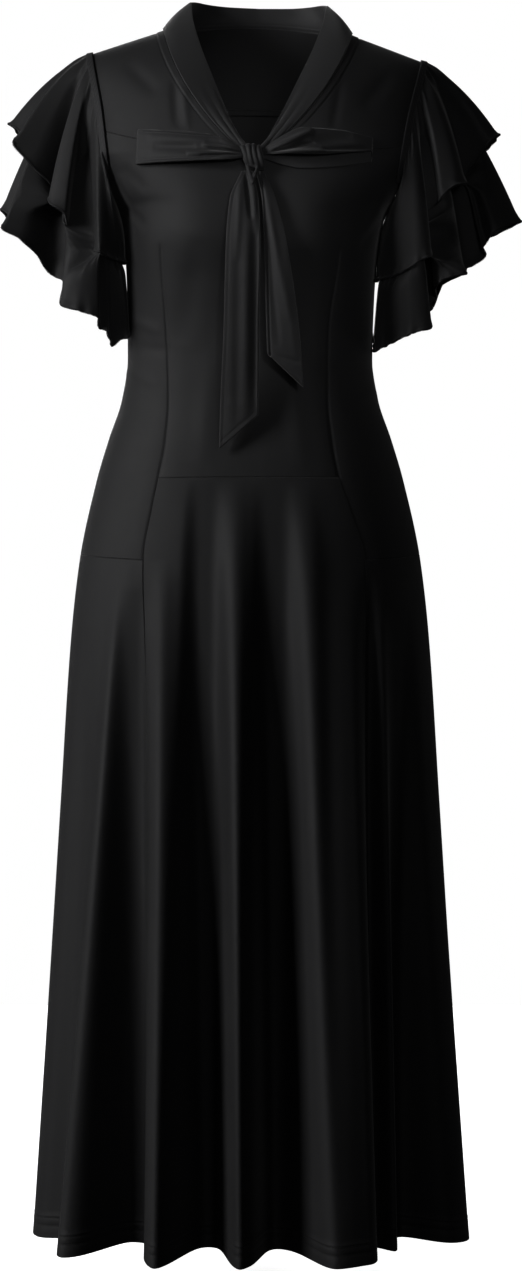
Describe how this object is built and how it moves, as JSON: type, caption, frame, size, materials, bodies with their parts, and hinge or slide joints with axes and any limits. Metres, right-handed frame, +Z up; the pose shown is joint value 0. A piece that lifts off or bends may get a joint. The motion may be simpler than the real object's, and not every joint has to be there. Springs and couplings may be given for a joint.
{
  "type": "flapper dress",
  "caption": "Midi dress in stretch jersey, filled out as if worn: tie collar with a bow over a V neck, tiered flounce sleeves, darted bodice and a flared panelled skirt that hangs in folds.",
  "frame": {"origin": "above the middle of the hem, level with where the neck seam crosses the shoulder seams, where a wearer's shoulders hold the dress up", "axes": "+Z up along the dress, the front faces -Y, +X towards the onlooker's right"},
  "size_m": [0.5323, 0.3721, 1.2932],
  "materials": {
    "jersey": "soft matt knit with a faint sheen",
    "flounce_jersey": "soft matt knit with a rolled edge",
    "tie_jersey": "soft matt knit, folded double"
  },
  "bodies": {
    "root": {"front_yoke_left": "jersey", "front_yoke_right": "jersey", "back_yoke": "jersey", "bodice_front": "jersey", "bodice_back": "jersey", "skirt_front_centre": "jersey", "skirt_front_left": "jersey", "skirt_front_right": "jersey", "skirt_back": "jersey", "sleeve_upper_flounce_left": "flounce_jersey", "sleeve_lower_flounce_left": "flounce_jersey", "sleeve_upper_flounce_right": "flounce_jersey", "sleeve_lower_flounce_right": "flounce_jersey", "collar_band": "tie_jersey", "bow_loop_left": "tie_jersey", "bow_loop_right": "tie_jersey", "bow_knot": "tie_jersey", "tie_tail_left": "tie_jersey", "tie_tail_right": "tie_jersey"}
  },
  "joints": []
}
